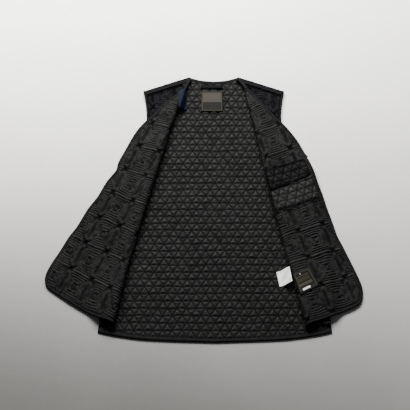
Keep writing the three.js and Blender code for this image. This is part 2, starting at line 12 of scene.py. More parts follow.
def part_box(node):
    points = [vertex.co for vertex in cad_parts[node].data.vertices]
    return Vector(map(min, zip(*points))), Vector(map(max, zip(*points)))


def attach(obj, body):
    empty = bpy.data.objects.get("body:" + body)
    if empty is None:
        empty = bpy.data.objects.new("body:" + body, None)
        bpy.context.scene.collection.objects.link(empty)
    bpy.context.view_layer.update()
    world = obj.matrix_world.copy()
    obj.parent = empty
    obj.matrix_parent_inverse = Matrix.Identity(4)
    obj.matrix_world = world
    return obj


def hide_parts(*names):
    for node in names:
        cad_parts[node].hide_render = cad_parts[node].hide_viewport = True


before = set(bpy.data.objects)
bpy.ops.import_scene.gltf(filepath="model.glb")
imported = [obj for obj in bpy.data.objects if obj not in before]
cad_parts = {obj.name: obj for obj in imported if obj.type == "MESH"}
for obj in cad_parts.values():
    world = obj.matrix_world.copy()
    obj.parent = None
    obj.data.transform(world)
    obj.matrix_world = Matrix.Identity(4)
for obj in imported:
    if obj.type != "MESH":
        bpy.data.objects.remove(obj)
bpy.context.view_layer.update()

# Sizes are in millimetres and cloth is laid out in them. X runs across the vest from its centre
# back, Y towards the neck, Z up from the floor. to_row() turns them into the row's metres.
MM = 0.001

STITCHED = 2.2  # wall at a line of quilting
PUFF = 2.2  # how far the back's padding rises between the lines
BACK_TOP = STITCHED + PUFF
SEAM_GAP = 0.3
FRONT_WALL = 3.2
FRONT_TOP = FRONT_WALL + 1.0  # with the lining's puff
LOWER_SHELL = BACK_TOP + SEAM_GAP + FRONT_WALL  # top of the layer that lies on the back
STACK = LOWER_SHELL + SEAM_GAP
STACK_CLEARANCE = 5  # how far past the stack's edge the cloth starts to come down
LANDING = 55  # width over which the turned-back layer comes down from its roll
DRAPE = 34  # width over which it comes down from the stack to the floor
ROLL_GROWS = dict(start=20, end=160, least=0.3)  # along a fold, from the neck
ROLL_SHRINKS = dict(over=60, by=0.15)  # at the hem
BOW_FADE = (15, 60)  # how far across a front the bow of its fold reaches
LINE_STEP = 2.5  # between the points along a binding
OUTLINE_STEP = 4  # and along the edge of a panel

QUILT_TRIANGLE = 23.44  # side of the lining's triangles
TRIANGLE = dict(side=QUILT_TRIANGLE, x=-10.4, y=3.2)
TRIANGLE_PUFF = dict(least=0.56, upward=0.34, uneven=0.36)
RIDGE = 5.5  # nested quilting: from the border of a cell to its outermost line of stitching
PITCH = 6.8  # and from there to each line further in
RINGS = 5
BOW = 2.2  # by how much those lines bow
NEST_END = dict(least=0.80, uneven=0.35, border=1.3)  # puff at the ends of a cell
NEST_SIDE = dict(least=0.14, uneven=0.2, border=0.22)  # and along its sides
UNDER_STEP = 40  # between the points of the back's plain underside
RIM_LIFT = 0.5  # how far its edge is off the floor
BACK_EDGE = 10  # width of the binding at the back's neck and hem
EDGE = 7  # and of the bindings on the fronts and armholes
TUCK = 2.2  # how far a panel stays clear of the outside of its binding
TAPE = 0.45  # thickness of the binding's cloth
WELD = 0.03  # points closer than this are one
SLIVER = 0.01  # and edges shorter than this go
SHOULDER_TURN = 17.5
NECK_LABEL = dict(x=-5, y=328.5, width=60, height=68)
HANGER_LOOP = dict(x=-5, y=378, width=60, height=9)

# The back's edge, right half
NECK = [(0, 398), (36, 402), (65, 411.5)]
SHOULDER_TIP = (193, 361.5)
ARMHOLE = [(193, 361.5), (185, 314), (182, 262), (189, 212), (208, 162), (247, 122)]
HEM = [(286, -366), (243, -376), (158, -387), (0, -393)]

# The fronts. bow has rows of (distance along the fold, how far it strays outwards). The nested
# quilting repeats every across and every along from x and y, leans by shear, and has rows of
# (y, slope of its lines) about the upright at middle. edge is the turned-back edge as it lies.
# level is the lining's colour; the right front's is a little lighter than the left's, painted light that
# makes up for less of the window's light reaching it.
FRONTS = {
    "left": dict(
        side=-1, roll=6.5, level=0.0078, fold=((-74, 392), (-244, -345)),
        nest=dict(across=61.5, along=80.9, x=-62, y=-16, shear=0.035, middle=-105,
                  slopes=[(-340, 0.09), (-180, 0.09), (-60, 0.03), (60, -0.02), (390, -0.02)]),
        bow=[(0, 0), (240, 4), (470, 7), (620, 6), (742, 0)],
        edge=[(-80, 371), (-122, 325), (-164, 280), (-204, 234), (-225, 195), (-242, 154), (-254, 120),
              (-259, 98), (-283, 66), (-304, 23), (-328, -15), (-352, -66), (-373, -101), (-391, -138),
              (-410, -175), (-422, -204), (-424, -225), (-419, -241), (-405, -254), (-372, -277),
              (-324, -309), (-286, -331), (-258, -343)],
        under_hem=[(-262, -349), (-284, -346)],
    ),
    "right": dict(
        side=1, roll=4.5, level=0.0082, fold=((78, 395), (220, -350)),
        nest=dict(across=67, along=80, x=55, y=-24, shear=-0.065, middle=85,
                  slopes=[(-340, 0.0), (-100, 0.0), (138, -0.10), (216, -0.18), (390, -0.1)]),
        bow=[(0, 0), (200, -2), (420, -5), (600, -2), (748, 0)],
        edge=[(85, 376), (107, 352), (148, 296), (199, 234), (225, 195), (242, 157), (249, 147.5),
              (247, 140), (253, 126), (263, 99), (272, 62), (283, 25), (292, -12), (302, -48),
              (313, -92), (325, -122), (338, -156), (352, -194), (366, -236), (368, -262),
              (362, -284), (348, -297), (318, -312), (284, -328), (247, -343), (236, -347)],
        under_hem=[(244, -350), (284, -346)],
    ),
}

# The pocket on the right front: its lines across the front as places along the fold, and how far
# each leans as it goes outwards
POCKET = dict(thick=1.2, puff=2.0, side=-6, facing=298, top=375, foot=443)
POCKET_LEAN = dict(facing=-0.11, top=-0.30, foot=-0.19)

# The bands of the V neck over the ends of the shoulders, and their heights at both ends
NECK_TURN = {"left": [(-84, 367), (-78, 384), (-73, 396), (-68.5, 405)],
             "right": [(69.5, 406), (77, 397), (85, 385), (94, 368)]}
NECK_TURN_HIGH = {"left": (10.0, 6.4), "right": (6.4, 8.6)}
POCKET_TRIANGLE = dict(side=QUILT_TRIANGLE, x=60.3, y=8)

# Corners of the labels and tapes as they lie
INNER_LABEL = [(197, -216), (237, -194), (260, -244), (213, -274)]
CARE_LABEL = [(155, -201), (187, -194), (193, -235), (162, -242)]
RIBBON = [(-97, 352), (-77, 366), (-73, 299), (-95, 297)]

label_low, label_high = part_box("neck_label")
CENTRE_BACK = (label_low + label_high) / 2 - Vector((NECK_LABEL["x"], NECK_LABEL["y"], 0)) * MM


# Numbers over the cloth

def smoothstep(x, low, high):
    t = np.clip((x - low) / (high - low), 0, 1)
    return t * t * (3 - 2 * t)


def chance(i, j, seed):
    """A repeatable number from 0 to 1 for each whole i and j."""
    n = (i * 374761393 + j * 668265263 + seed * 974634777) & 0xFFFFFFFF
    n = ((n ^ (n >> 13)) * 1274126177) & 0xFFFFFFFF
    return ((n ^ (n >> 16)) & 0xFFFF) / 0xFFFF


def lumps(x, y, size, seed):
    """Smooth unevenness from -1 to 1, with lumps of the given size."""
    u, v = np.asarray(x) / size, np.asarray(y) / size
    i, j = np.floor(u).astype(np.int64), np.floor(v).astype(np.int64)
    s, t = smoothstep(u - i, 0, 1), smoothstep(v - j, 0, 1)
    low = chance(i, j, seed) * (1 - s) + chance(i + 1, j, seed) * s
    high = chance(i, j + 1, seed) * (1 - s) + chance(i + 1, j + 1, seed) * s
    return 2 * (low * (1 - t) + high * t) - 1


def drift(x, y, across, along):
    """How far the cloth has shifted. Both ways have rows of (size of its lumps, seed, by how much)."""
    return np.column_stack([sum(lumps(x, y, size, seed) * by for size, seed, by in rows)
                            for rows in (across, along)])


def curve(places, step):
    """A smooth line through places, as evenly spaced points."""
    points = np.array(places, float)
    last = len(points) - 1
    at = np.linspace(0, last, 60 * last)
    i = np.minimum(at.astype(int), last - 1)
    t = (at - i)[:, None]
    before, a, b, after = (points[np.clip(i + k, 0, last)] for k in (-1, 0, 1, 2))
    leave, arrive = (b - before) / 2, (after - a) / 2
    square, cube = 3 * (b - a) - 2 * leave - arrive, 2 * (a - b) + leave + arrive
    dense = a + leave * t + square * t**2 + cube * t**3
    return evenly(dense, step)


def evenly(line, step):
    run = np.concatenate([[0], np.cumsum(np.hypot(*np.diff(line, axis=0).T))])
    at = np.linspace(0, run[-1], max(2, round(run[-1] / step) + 1))
    return np.column_stack([np.interp(at, run, line[:, k]) for k in (0, 1)])


def mirrored(line):
    return (line * (-1, 1))[::-1]


def moved(line, by):
    """The line moved sideways, to the left of its direction."""
    run = np.gradient(line, axis=0)
    run /= np.hypot(*run.T)[:, None]
    return line + np.column_stack([-run[:, 1], run[:, 0]]) * np.reshape(by, (-1, 1))


def inside(points, outline):
    x, y = points.T
    found = np.zeros(len(points), bool)
    for (ax, ay), (bx, by) in zip(outline, np.roll(outline, -1, axis=0)):
        crosses = (ay > y) != (by > y)
        if crosses.any():
            found ^= crosses & (x < ax + (y - ay) / (by - ay if by != ay else 1) * (bx - ax))
    return found


def nearest(points, outline):
    """The nearest places on a closed outline, and how far they are."""
    best = np.full(len(points), np.inf)
    place = points.copy()
    for a, b in zip(outline, np.roll(outline, -1, axis=0)):
        run = b - a
        t = np.clip(((points - a) @ run) / max(run @ run, 1e-9), 0, 1)
        on = a + t[:, None] * run
        far = np.hypot(*(points - on).T)
        closer = far < best
        best[closer] = far[closer]
        place[closer] = on[closer]
    return place, best


# Flat meshes of quilted cloth, with their edges on the stitching

def merged(points, faces):
    """Joins points that are the same. The shift keeps round sizes off the border of two steps."""
    _, first, where = np.unique(np.round(points / 0.02 + 0.2718).astype(np.int64), axis=0,
                                   return_index=True, return_inverse=True)
    return points[first], where.reshape(-1)[faces]


def ladder(count, size):
    """Faces between count closed rings of points, each of the given size."""
    return [(i * size + k, i * size + (k + 1) % size, (i + 1) * size + (k + 1) % size, (i + 1) * size + k)
            for i in range(count - 1) for k in range(size)]


def triangle_mesh(pattern, reach, fine):
    """Equilateral cells, each cut into fine x fine small triangles."""
    side = pattern["side"]
    row = side * math.sqrt(3) / 2
    (left, low), (right, high) = reach
    steps = [(a, b) for a in range(fine + 1) for b in range(fine + 1 - a)]
    number = {step: k for k, step in enumerate(steps)}
    small = []
    for a, b in steps:
        if a + b < fine:
            small.append((number[a, b], number[a + 1, b], number[a, b + 1]))
        if a + b < fine - 1:
            small.append((number[a + 1, b], number[a + 1, b + 1], number[a, b + 1]))
    shares = np.array(steps) / fine
    points, faces = [], []
    for j in range(math.floor((low - pattern["y"]) / row), math.ceil((high - pattern["y"]) / row)):
        y = pattern["y"] + j * row
        first = pattern["x"] + j * side / 2
        for i in range(math.floor((left - first) / side) - 1, math.ceil((right - first) / side) + 1):
            corner = np.array([first + i * side, y])
            across, up = np.array([side, 0]), np.array([side / 2, row])
            for origin, u, v in ((corner, across, up), (corner + across + up, -across, -up)):
                faces.append(np.array(small) + len(points) * len(steps))
                points.append(origin + shares @ np.array([u, v]))
    return merged(np.concatenate(points), np.concatenate(faces))


SQUARE = np.array([(0, 0), (1, 0), (1, 1), (0, 1), (0, 0)]) - 0.5


def nest_mesh(nest, reach):
    """Cells of nested rectangles: four places on each ring's rise, and more steps near corners."""
    across, along = nest["across"], nest["along"]
    insets = [0, RIDGE * 0.35, RIDGE * 0.7]
    insets += [RIDGE + PITCH * (r + share) for r in range(RINGS - 1) for share in (0, 0.2, 0.5, 0.8)]
    last = RIDGE + PITCH * (RINGS - 1)
    insets += [last, last + 1.6, (last + along / 2) / 2 + 1, along / 2]
    even = [np.linspace(0, 1, steps, endpoint=False) for steps in (12, 16)]
    steps = [0.45 * (0.5 - 0.5 * np.cos(math.pi * t)) + 0.55 * t for t in even]
    loops = []
    for inset in insets:
        size = np.array([across, along]) * (1 - 2 * inset / along)
        corners = SQUARE * size + (across / 2, along / 2)
        sides = [corners[k] + steps[k % 2][:, None] * (corners[k + 1] - corners[k]) for k in range(4)]
        loops.append(np.concatenate(sides))
    count = len(loops[0])
    cell = np.concatenate(loops)
    quads = ladder(len(loops), count)
    (left, low), (right, high) = reach
    points, faces = [], []
    for i in range(math.floor((left - nest["x"]) / across), math.ceil((right - nest["x"]) / across)):
        for j in range(math.floor((low - nest["y"]) / along), math.ceil((high - nest["y"]) / along)):
            faces.append(np.array(quads) + len(points) * len(cell))
            points.append(cell + (nest["x"] + i * across, nest["y"] + j * along))
    return merged(np.concatenate(points), np.concatenate(faces))


def slope_at(nest, y):
    return np.interp(y, *np.array(nest["slopes"], float).T)


def bowed(x, y, nest):
    """How far the lines of each cell bow towards its nearer end."""
    across = (x - nest["x"]) / nest["across"]
    along = (y - nest["y"]) / nest["along"]
    u, v = across - np.floor(across) - 0.5, along - np.floor(along) - 0.5
    return BOW * np.sin(2 * math.pi * v) * (1 - 4 * u**2)


def leaned(pattern, nest):
    """Where places of the nested pattern lie on the cloth, which was sewn a little askew."""
    x, y = pattern.T
    place_x = x + nest["shear"] * y
    slope = slope_at(nest, y) * (place_x - nest["middle"])
    return np.column_stack([place_x, y + slope + bowed(x, y, nest)])


def upright(place, nest):
    """The place in the pattern of places on the cloth."""
    x, y = place.T
    pattern_y = y
    for _ in range(6):
        bow = bowed(x - nest["shear"] * pattern_y, pattern_y, nest)
        pattern_y = y - slope_at(nest, pattern_y) * (x - nest["middle"]) - bow
    return np.column_stack([x - nest["shear"] * pattern_y, pattern_y])


def trimmed(points, faces, outline):
    """Cuts a flat mesh to an outline: outer corners move on to it. Also gives the distance to it."""
    box = (points > outline.min(0) - 30).all(1) & (points < outline.max(0) + 30).all(1)
    within = np.zeros(len(points), bool)
    within[box] = inside(points[box], outline)
    faces = faces[within[faces].any(axis=1)]
    used, flat = np.unique(faces, return_inverse=True)
    faces = flat.reshape(faces.shape)
    points, within = points[used], within[used]
    edge, far = nearest(points, outline)
    points[~within] = edge[~within]
    return points, faces, np.where(within, far, 0)


def triangle_relief(x, y, pattern):
    """The padding between triangular stitching, from 0 on a line to about 1."""
    side = pattern["side"]
    row = side * math.sqrt(3) / 2
    u, v = (x - pattern["x"]) / row, (y - pattern["y"]) / row
    lines = [v, v / 2 + u * math.sqrt(3) / 2, v / 2 - u * math.sqrt(3) / 2]
    parts = [line - np.floor(line) for line in lines]
    inner = 3 * np.minimum.reduce([np.minimum(p, 1 - p) for p in parts])
    i, j = (np.floor(lines[k]).astype(np.int64) for k in (0, 1))
    upward = (i + np.floor(lines[2]).astype(np.int64) - j) % 2
    size = TRIANGLE_PUFF["least"] + TRIANGLE_PUFF["upward"] * upward
    size += TRIANGLE_PUFF["uneven"] * chance(i, j, 5 + upward)
    lean = sum(0.5 * (chance(i, j, seed) - 0.5) * (part - 0.5) for seed, part in zip((11, 12), parts))
    puff = 1 - (1 - np.clip(inner, 0, 1)) ** 4
    creases = 0.46 * lumps(x + 0.6 * y, y, 6.5, 21) + 0.40 * lumps(x, y * 1.7, 5.0, 22)
    return puff * (size + lean) + creases * np.sqrt(np.clip(inner, 0, 1)) * (1.1 - 0.5 * puff)


def nest_relief(x, y, nest):
    """The padding between nested rectangles of stitching, pinched where four cells meet."""
    across, along = nest["across"], nest["along"]
    i, j = np.floor((x - nest["x"]) / across), np.floor((y - nest["y"]) / along)
    u, v = x - nest["x"] - (i + 0.5) * across, y - nest["y"] - (j + 0.5) * along
    from_side, from_end = across / 2 - np.abs(u), along / 2 - np.abs(v)
    inward = np.minimum(from_side * along / across, from_end)
    ends = from_end < from_side * along / across
    ring = np.floor((inward - RIDGE) / PITCH + 1e-6)
    part = np.clip((inward - RIDGE) / PITCH - ring, 0, 1)
    middle = inward > RIDGE + PITCH * (RINGS - 1)
    puff = np.where(middle, smoothstep(inward, RIDGE + PITCH * (RINGS - 1), along / 2) * 0.8,
                    1 - np.abs(2 * part - 1) ** 2.2)
    ridge = np.cos(np.clip(inward / RIDGE, 0, 1) * math.pi / 2) ** 0.7
    puff = np.where(inward < RIDGE, ridge, puff)
    place = (i * 31 + np.sign(u)).astype(np.int64), (j * 17 + np.sign(v)).astype(np.int64)
    size = np.where(ends, NEST_END["least"] + NEST_END["uneven"] * chance(*place, 3),
                    NEST_SIDE["least"] + NEST_SIDE["uneven"] * chance(*place, 9))
    size = size * (0.8 + 0.4 * chance(place[0], place[1] * 8 + ring.astype(np.int64), 13))
    corner = np.hypot(from_side, from_end)
    border = np.where(ends, NEST_END["border"], NEST_SIDE["border"])
    border = border * (0.25 + 0.75 * smoothstep(corner, 3, 12))
    size = np.where(inward < RIDGE, border, size)
    bead = 1 + 0.5 * lumps(x, y, 11, 31) + 0.4 * lumps(x, y, 5, 32)
    across_arm = (from_side * along - from_end * across) / math.hypot(across, along)
    arms = np.exp(-((across_arm / 2.2) ** 2)) * (1 - smoothstep(corner, 9, 22))
    blob = np.exp(-((from_side / 5) ** 2) - (((from_end - 10) / 5) ** 2))
    pinch = -1.0 * np.exp(-((corner / 4.5) ** 2)) - 0.75 * arms + 0.7 * blob
    beside = smoothstep(from_end - from_side * along / across, -3, 3)
    rough = 0.30 * lumps(x, y, 5.5, 33) + 0.22 * lumps(x, y * 1.5, 3.6, 34)
    grain = 0.36 * beside + rough * (0.4 + 0.6 * beside)
    return puff * size * bead + grain * smoothstep(inward, 1, 7) + pinch * (0.7 + 0.6 * chance(*place, 17))


# How a front is turned back. Its own sheet is measured by p, along the fold from the neck, and
# q, across it: q < 0 lies on the back, q > 0 is turned over, and h goes from the shell (0) to the
# lining.
class Fold:
    def __init__(self, side, roll, fold, bow, **_):
        self.side, self.roll, self.bow = side, roll, np.array(bow, float)
        self.start, end = np.array(fold[0], float), np.array(fold[1], float)
        self.length = float(np.hypot(*(end - self.start)))
        self.along = (end - self.start) / self.length
        self.inward = np.array([self.along[1], -self.along[0]])
        if self.inward[0] * self.start[0] > 0:
            self.inward = -self.inward
        self.spread = roll + FRONT_TOP
        stack = np.vstack([curve(ARMHOLE, 20), [HEM[0]]]) * (side, 1)
        p, d = self.measure(stack)
        order = np.argsort(p)
        self.stack = np.column_stack([p, d + STACK_CLEARANCE])[order]

    def size(self, p):
        grown = smoothstep(p, ROLL_GROWS["start"], ROLL_GROWS["end"])
        shrunk = smoothstep(p, self.length - ROLL_SHRINKS["over"], self.length)
        uneven = 1 + 0.05 * lumps(p, 0 * p, 70, 61) + 0.04 * lumps(p, 0 * p, 31, 62)
        full = ROLL_GROWS["least"] + (1 - ROLL_GROWS["least"]) * grown - ROLL_SHRINKS["by"] * shrunk
        return full * uneven

    def measure(self, place):
        r = np.asarray(place, float) - self.start
        return r @ self.along, -(r @ self.inward)

    def turned(self, place):
        return np.column_stack(self.measure(np.atleast_2d(place)))

    def lying(self, place):
        p, d = self.measure(np.atleast_2d(place))
        return np.column_stack([p, -d - (math.pi - 2) * self.spread * self.size(p)])

    def closed(self, sheet):
        """Where places of the sheet are when the vest is closed and lies flat."""
        return self.start + np.outer(sheet[:, 0], self.along) + np.outer(sheet[:, 1], self.inward)

    def opened(self, place):
        r = np.atleast_2d(place) - self.start
        return np.column_stack([r @ self.along, r @ self.inward])

    def lift(self, p, q):
        """How the turned-back layer stands off what is under it, in long soft waves."""
        loose = smoothstep(q, 10, 70)
        long_waves = 1.6 * (1 + lumps(p - 0.35 * q, q, 95, 71)) + 0.8 * (1 + lumps(p, q, 46, 72))
        return loose * long_waves

    def lay(self, sheet, h):
        p, q = sheet.T
        big, small = self.spread * self.size(p), self.roll * self.size(p)
        bottom = -(math.pi - 1) * big
        over, rolled = q >= big, q > bottom
        down = 1 - smoothstep(q - big, 0, LANDING)
        past = np.maximum(q, big) - np.interp(p, *self.stack.T)
        on_stack = 1 - smoothstep(past, 0, DRAPE)
        turn = -math.pi / 2 + (np.clip(q, bottom, big) - bottom) / big
        arc_d = big - (big - FRONT_WALL + h) * np.cos(turn)
        arc_z = LOWER_SHELL * on_stack + small + (small + h) * np.sin(turn)
        d = np.where(over, q, np.where(rolled, arc_d, -q - (math.pi - 2) * big))
        high = STACK * on_stack + (2 * small - SEAM_GAP) * down + h + self.lift(p, q)
        z = np.where(over, high, np.where(rolled, arc_z, LOWER_SHELL - h))
        stray = np.interp(p, *self.bow.T) * (1 - smoothstep(d, *BOW_FADE))
        flat = self.start + np.outer(p, self.along) + np.outer(-d - stray, self.inward)
        return np.column_stack([flat, z])


# Meshes and pieces

def to_row(points):
    return np.asarray(points) * MM + (CENTRE_BACK.x, CENTRE_BACK.y, 0)


def add_piece(name, points, faces, cloth, materials, nodes, slot, second=None, puff=None):
    """A mesh from points in millimetres. cloth gives each point its place on the flat cloth."""
    mesh = bpy.data.meshes.new(name)
    mesh.from_pydata(to_row(points).tolist(), [], [list(map(int, f)) for f in faces])
    uv = mesh.uv_layers.new(name="cloth")
    corner_points = np.zeros(len(mesh.loops), np.int32)
    mesh.loops.foreach_get("vertex_index", corner_points)
    uv.data.foreach_set("uv", (np.asarray(cloth)[corner_points] * MM).astype(np.float32).reshape(-1))
    # puff is the padding's height, 0 at a line of stitching; the quilted materials darken by it to paint
    # shade into the stitching channels.
    values = mesh.attributes.new("puff", "FLOAT", "POINT")
    puff = np.ones(len(points)) if puff is None else puff
    values.data.foreach_set("value", np.asarray(puff, np.float32))
    if second is not None:
        mesh.polygons.foreach_set("material_index", np.asarray(second, np.int32))
    piece = bpy.data.objects.new(name, mesh)
    bpy.context.scene.collection.objects.link(piece)
    for material in materials:
        mesh.materials.append(material)
    joined = bmesh.new()
    joined.from_mesh(mesh)
    bmesh.ops.remove_doubles(joined, verts=joined.verts, dist=WELD * MM)
    bmesh.ops.dissolve_degenerate(joined, edges=joined.edges, dist=SLIVER * MM)
    bmesh.ops.recalc_face_normals(joined, faces=joined.faces)
    joined.to_mesh(mesh)
    joined.free()
    mesh.polygons.foreach_set("use_smooth", [True] * len(mesh.polygons))
    mesh.update()
    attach(piece, "root")
    if nodes:
        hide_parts(*nodes)
    return piece


def rim_of(faces):
    """The open edge of a mesh, as directed pairs of points."""
    pairs = np.concatenate([np.column_stack([faces[:, k], np.roll(faces, -1, axis=1)[:, k]])
                            for k in range(faces.shape[1])])
    pairs = pairs[pairs[:, 0] != pairs[:, 1]]
    known = set(map(tuple, pairs))
    return np.array([pair for pair in known if pair[::-1] not in known])


def closed_slab(top, bottom, faces):
    """Two copies of one sheet, joined round their open edge. 1 marks the faces of the second."""
    count = len(top)
    rim = rim_of(faces)
    sides = [(b, a, a + count, b + count) for a, b in rim]
    all_faces = [*faces, *(faces[:, ::-1] + count), *sides]
    return np.vstack([top, bottom]), all_faces, [0] * len(faces) + [1] * len(faces) + [1] * len(sides)


def swept(name, layers, cloths, material, nodes, slot):
    """A piece swept along a line. layers has a line of points for each place of its section."""
    size, count = len(layers), len(layers[0])
    points, cloth = (np.stack(part, axis=1).reshape(size * count, -1) for part in (layers, cloths))
    ends = [tuple(range(size))[::-1], tuple((count - 1) * size + k for k in range(size))]
    return add_piece(name, points, ladder(count, size) + ends, cloth, [material], nodes, slot)


# The folded tape round an edge, as its section: how far in from the edge, and how high, where 1
# is the wall it holds
def tape_section(width, wall, swell=0.5):
    outer = [(width, -TAPE), (width * 0.5, -TAPE), (1.2, -TAPE), (0.35, wall * 0.15), (0, wall * 0.5),
             (0.35, wall * 0.95), (1.4, wall + TAPE + swell * 0.6), (width * 0.32, wall + TAPE + swell),
             (width * 0.58, wall + TAPE + swell * 0.8), (width - 2.0, wall + TAPE + swell * 0.35),
             (width - 1.5, wall + TAPE), (width - 1.0, wall + TAPE + swell * 0.4),
             (width - 0.3, wall + TAPE + swell * 0.3), (width, wall + TAPE * 0.6)]
    inner = [(width, wall + 0.02), (width * 0.5, wall + 0.02), (1.6, wall * 0.8), (1.2, wall * 0.5),
             (1.6, wall * 0.2), (width, -0.02)]
    return np.array(outer + inner)


def bind(name, line, width, wall, lay, nodes, seed, material, swell=0.5, base=0.0):
    """Tape folded round the edge that runs along line, which has the cloth on its right."""
    section = tape_section(width, wall, swell)
    run = np.arange(len(line)) * LINE_STEP
    wave = 0.22 * lumps(run, 0 * run, 11, seed) + 0.14 * lumps(run, 0 * run, 5.2, seed + 1)
    points, cloth = [], []
    for across, up in section:
        pull = wave * (0.6 if up > wall else 0.25)
        points.append(lay(moved(line, -across - pull * 0.7), base + up + pull * (up > wall)))
        cloth.append(np.column_stack([run, np.full(len(line), across + (20 if up < wall * 0.5 else 0))]))
    return swept(name, points, cloth, material, nodes, "binding")


def lie_flat(line, h):
    return np.column_stack([line, np.broadcast_to(h, len(line))])


def cut_sheet(outline):
    """Turns a piece's flat outline into metres, and does nothing more with it."""
    x, y = np.asarray(outline, float).T * MM


# The panels

def shoulder_line():
    """The fold at the top of a shoulder: its start, its direction and the way out across it."""
    start, tip = np.array(NECK[-1], float), np.array(SHOULDER_TIP, float)
    length = float(np.hypot(*(tip - start)))
    run = (tip - start) / length
    return start, run, np.array([-run[1], run[0]]), length


def back_outline():
    """The back's edge, inset from its bindings and from the turn at the shoulder."""
    start, run, out, length = shoulder_line()
    shoulder = [start + run * s - out * 5 for s in (3, length - 3)]
    armhole, hem = moved(curve(ARMHOLE, OUTLINE_STEP), -TUCK), curve(HEM, OUTLINE_STEP)
    half = np.vstack([curve(NECK, OUTLINE_STEP)[:-1] - (0, TUCK), shoulder, armhole[2:-1], hem + (0, TUCK)])
    return np.vstack([half, mirrored(half)[1:-1]])


def make_back(lining):
    outline = back_outline()
    flat, faces = triangle_mesh(TRIANGLE, ((-300, -410), (300, 420)), 9)
    flat, faces, far = trimmed(flat, faces, outline)
    x, y = flat.T
    relief = triangle_relief(x, y, TRIANGLE) * smoothstep(far, 1.5, EDGE + 2)
    top = STITCHED + PUFF * relief + 0.35 * lumps(x, y, 70, 81) * smoothstep(far, 2, 30)
    at_edge = smoothstep(far, 2, 14)
    wall = STITCHED * (0.8 + 0.2 * at_edge) * (1 - at_edge) + top * at_edge
    shift = drift(x, y, [(48, 91, 1.2), (21, 93, 0.9)], [(43, 92, 1.2), (18, 94, 1.0)])
    place = flat + shift * smoothstep(far, 2, 20)[:, None]
    points = np.column_stack([place, wall])
    rim = rim_of(faces)
    order = [rim[0][0]]
    following = dict(rim.tolist())
    while following[order[-1]] != order[0]:
        order.append(following[order[-1]])
    loop = [Vector(place[k]) for k in order]
    low, high = outline.min(0), outline.max(0)
    columns, rows = (np.arange(low[k], high[k], UNDER_STEP) for k in (0, 1))
    grid = np.array([(gx, gy) for gx in columns for gy in rows])
    grid = grid[inside(grid, outline) & (nearest(grid, outline)[1] > 12)]
    count = len(loop)
    corners, _, under, source, _, _ = delaunay_2d_cdt(
        loop + [Vector(g) for g in grid], [(k, (k + 1) % count) for k in range(count)], [], 1, 1e-5)
    base = len(points)
    near_rim = np.array([any(k < count for k in origins) for origins in source])
    bottom = np.array([(c.x, c.y, RIM_LIFT if edge else 0) for c, edge in zip(corners, near_rim)])
    where = {k: base + n for n, origins in enumerate(source) for k in origins if k < count}
    sides = [(order[(k + 1) % count], order[k], where[k], where[(k + 1) % count]) for k in range(count)]
    all_faces = [*faces, *sides, *[[base + c for c in face][::-1] for face in under]]
    puff = np.concatenate([np.clip(relief, 0, 1), np.ones(len(bottom))])
    return add_piece("quilted_back", np.vstack([points, bottom]), all_faces,
                     np.vstack([flat, bottom[:, :2]]), [lining], ["back"], "lining", puff=puff)


def front_edge(spec, fold):
    """The line of a front's bound edge on its own sheet, from the shoulder to the side seam."""
    (neck_x, _), side = spec["fold"][0], spec["side"]
    first = fold.lying((neck_x + side * 5, 388))
    hem = fold.lying(spec["under_hem"])
    over = [(fold.length + 6 - turn * 2, turn * fold.spread) for turn in (0.2, -0.8, -1.8)]
    return curve(np.vstack([first, fold.turned(spec["edge"]), over, hem]), LINE_STEP)


def front_outline(spec, fold, edge):
    side = spec["side"]
    armhole = moved(curve(ARMHOLE, OUTLINE_STEP), -TUCK)[::-1] * (side, 1)
    start, run, out, length = shoulder_line()
    seam_end = (start + run * (length - TUCK) - out * SHOULDER_TURN) * (side, 1)
    below = (side * (ARMHOLE[-1][0] - 2), ARMHOLE[-1][1] - 9)
    return np.vstack([moved(edge, -TUCK)[1:], fold.lying(np.vstack([below, armhole[1:-4], seam_end]))])


def make_front(name, spec, fold, edge, lining, shell):
    nest = spec["nest"]
    pattern, faces = nest_mesh(nest, ((-360, -450), (360, 460)))
    sheet, faces, far = trimmed(fold.opened(leaned(pattern, nest)), faces, front_outline(spec, fold, edge))
    cloth = upright(fold.closed(sheet), nest)
    relief = nest_relief(*cloth.T, nest) * smoothstep(far, 1.5, EDGE + 2)
    p, q = sheet.T
    turned = smoothstep(q, -2 * fold.spread, fold.spread)
    rise = 0.7 + 1.2 * turned
    wall = STITCHED + 0.35 * turned + rise * relief
    at_edge = smoothstep(far, 2, 12)
    lining_side = STITCHED * (1 - at_edge) + wall * at_edge
    lining_side = np.where(q < -2 * fold.spread, np.minimum(lining_side, FRONT_WALL - 0.2), lining_side)
    outside = -1.0 * np.clip(relief, -0.4, 2) * smoothstep(-q, 2 * fold.spread, 3 * fold.spread)
    shift = drift(p, q, [(52, 93, 1.6), (19, 95, 1.1)], [(47, 94, 1.6), (23, 96, 1.1)])
    place = sheet + shift * smoothstep(far, 2, 24)[:, None]
    top, bottom = fold.lay(place, lining_side), fold.lay(place, outside)
    points, all_faces, second = closed_slab(top, bottom, faces)
    puff = np.tile(np.clip(relief, 0, 1), 2)
    return add_piece(f"quilted_front_{name}", points, all_faces, np.tile(cloth, (2, 1)),
                     [lining, shell], [f"front_{name}"], "lining", second, puff)


# The turn's section as (how far in from the fold, height): its underside, then its two quilted
# ridges from the fold inwards
SHOULDER_SECTION = [
    (16.8, 5.4), (8, 5.2), (4.5, 4.6), (2.6, 3.0), (2.0, 1.0), (1.0, 0.4), (0.3, 1.4),
    (0, 3.2), (0.2, 5.4), (1.0, 7.6), (2.4, 9.0), (4.2, 9.7), (5.6, 9.4), (6.4, 8.6), (7.2, 9.2),
    (9.0, 10.0), (10.6, 9.7), (11.6, 8.8), (12.6, 9.4), (14.2, 9.8), (15.6, 9.3), (16.5, 8.0), (16.9, 6.6)]


